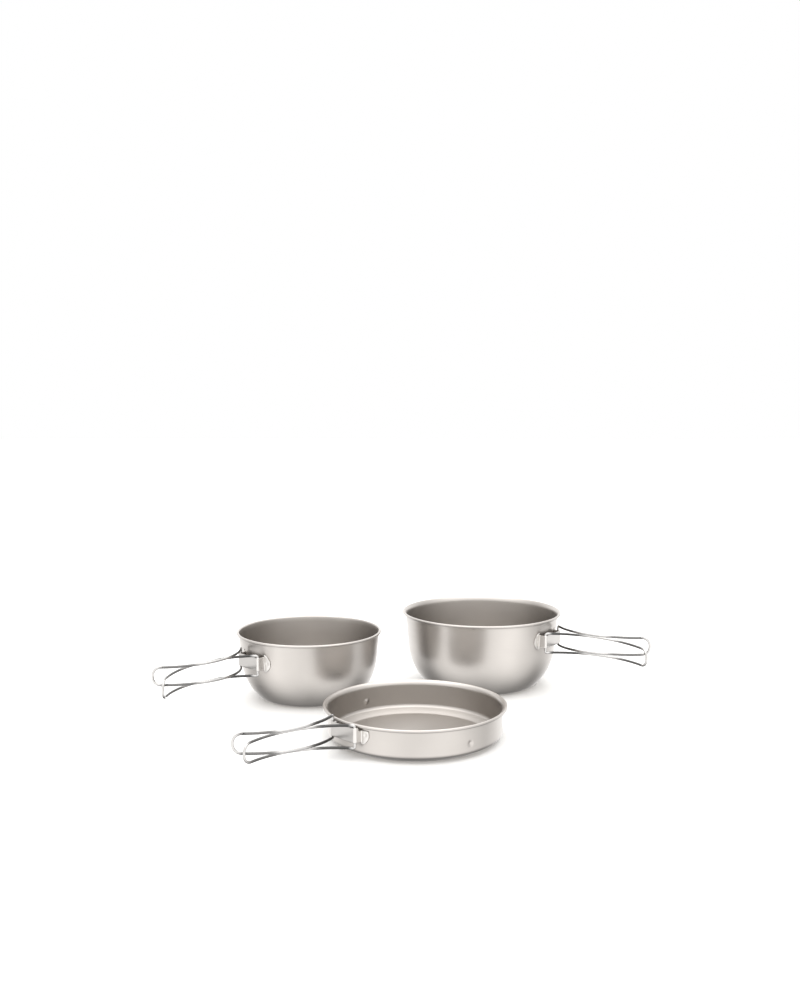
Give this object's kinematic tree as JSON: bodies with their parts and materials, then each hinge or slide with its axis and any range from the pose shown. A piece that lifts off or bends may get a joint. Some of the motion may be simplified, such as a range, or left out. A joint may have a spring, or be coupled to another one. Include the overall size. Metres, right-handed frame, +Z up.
{
  "type": "cooking pot set",
  "caption": "Nesting camping cook set: two deep titanium pots and a shallow frying pan, each with a pair of hinged wire loops that fold round the wall as a handle.",
  "frame": {"origin": "centre of the large pot's underside, on the surface that everything stands on", "axes": "+X to the right along the row of pots, +Y towards the back of the set, +Z up"},
  "size_m": [0.4266, 0.3408, 0.071],
  "materials": {
    "vessel_titanium": "bead-blasted titanium, satin",
    "bracket_titanium": "satin titanium strap",
    "handle_wire": "polished stainless wire"
  },
  "bodies": {
    "large_pot": {"large_pot_body": "vessel_titanium", "large_pot_bracket": "bracket_titanium"},
    "large_pot_right_loop": {"large_pot_right_loop": "handle_wire"},
    "large_pot_left_loop": {"large_pot_left_loop": "handle_wire"},
    "small_pot": {"small_pot_body": "vessel_titanium", "small_pot_bracket": "bracket_titanium"},
    "small_pot_left_loop": {"small_pot_left_loop": "handle_wire"},
    "small_pot_right_loop": {"small_pot_right_loop": "handle_wire"},
    "frying_pan": {"frying_pan_body": "vessel_titanium", "frying_pan_bracket": "bracket_titanium"},
    "frying_pan_left_loop": {"frying_pan_left_loop": "handle_wire"},
    "frying_pan_right_loop": {"frying_pan_right_loop": "handle_wire"}
  },
  "joints": [
    {"name": "large_pot_right_fold", "type": "hinge", "parent": "large_pot", "child": "large_pot_right_loop", "pos_m": [0.06958, -0.03252, 0.0522], "axis": [0, 0, 1], "range_deg": [0, 145]},
    {"name": "large_pot_left_fold", "type": "hinge", "parent": "large_pot", "child": "large_pot_left_loop", "pos_m": [0.05474, -0.05387, 0.0522], "axis": [0, 0, -1], "range_deg": [0, 144]},
    {"name": "small_pot_lift", "type": "slide", "parent": "large_pot", "child": "small_pot", "axis": [0, 0, 1], "range_m": [0, 0.1]},
    {"name": "small_pot_left_fold", "type": "hinge", "parent": "small_pot", "child": "small_pot_left_loop", "pos_m": [-0.22074, -0.08082, 0.0426], "axis": [0, 0, -1], "range_deg": [0, 153]},
    {"name": "small_pot_right_fold", "type": "hinge", "parent": "small_pot", "child": "small_pot_right_loop", "pos_m": [-0.20308, -0.0999, 0.0426], "axis": [0, 0, 1], "range_deg": [0, 146]},
    {"name": "frying_pan_lift", "type": "slide", "parent": "large_pot", "child": "frying_pan", "axis": [0, 0, 1], "range_m": [0, 0.1]},
    {"name": "frying_pan_left_fold", "type": "hinge", "parent": "frying_pan", "child": "frying_pan_left_loop", "pos_m": [-0.13055, -0.21128, 0.02], "axis": [0, 0, -1], "range_deg": [0, 124]},
    {"name": "frying_pan_right_fold", "type": "hinge", "parent": "frying_pan", "child": "frying_pan_right_loop", "pos_m": [-0.11288, -0.23036, 0.02], "axis": [0, 0, 1], "range_deg": [0, 152]}
  ]
}
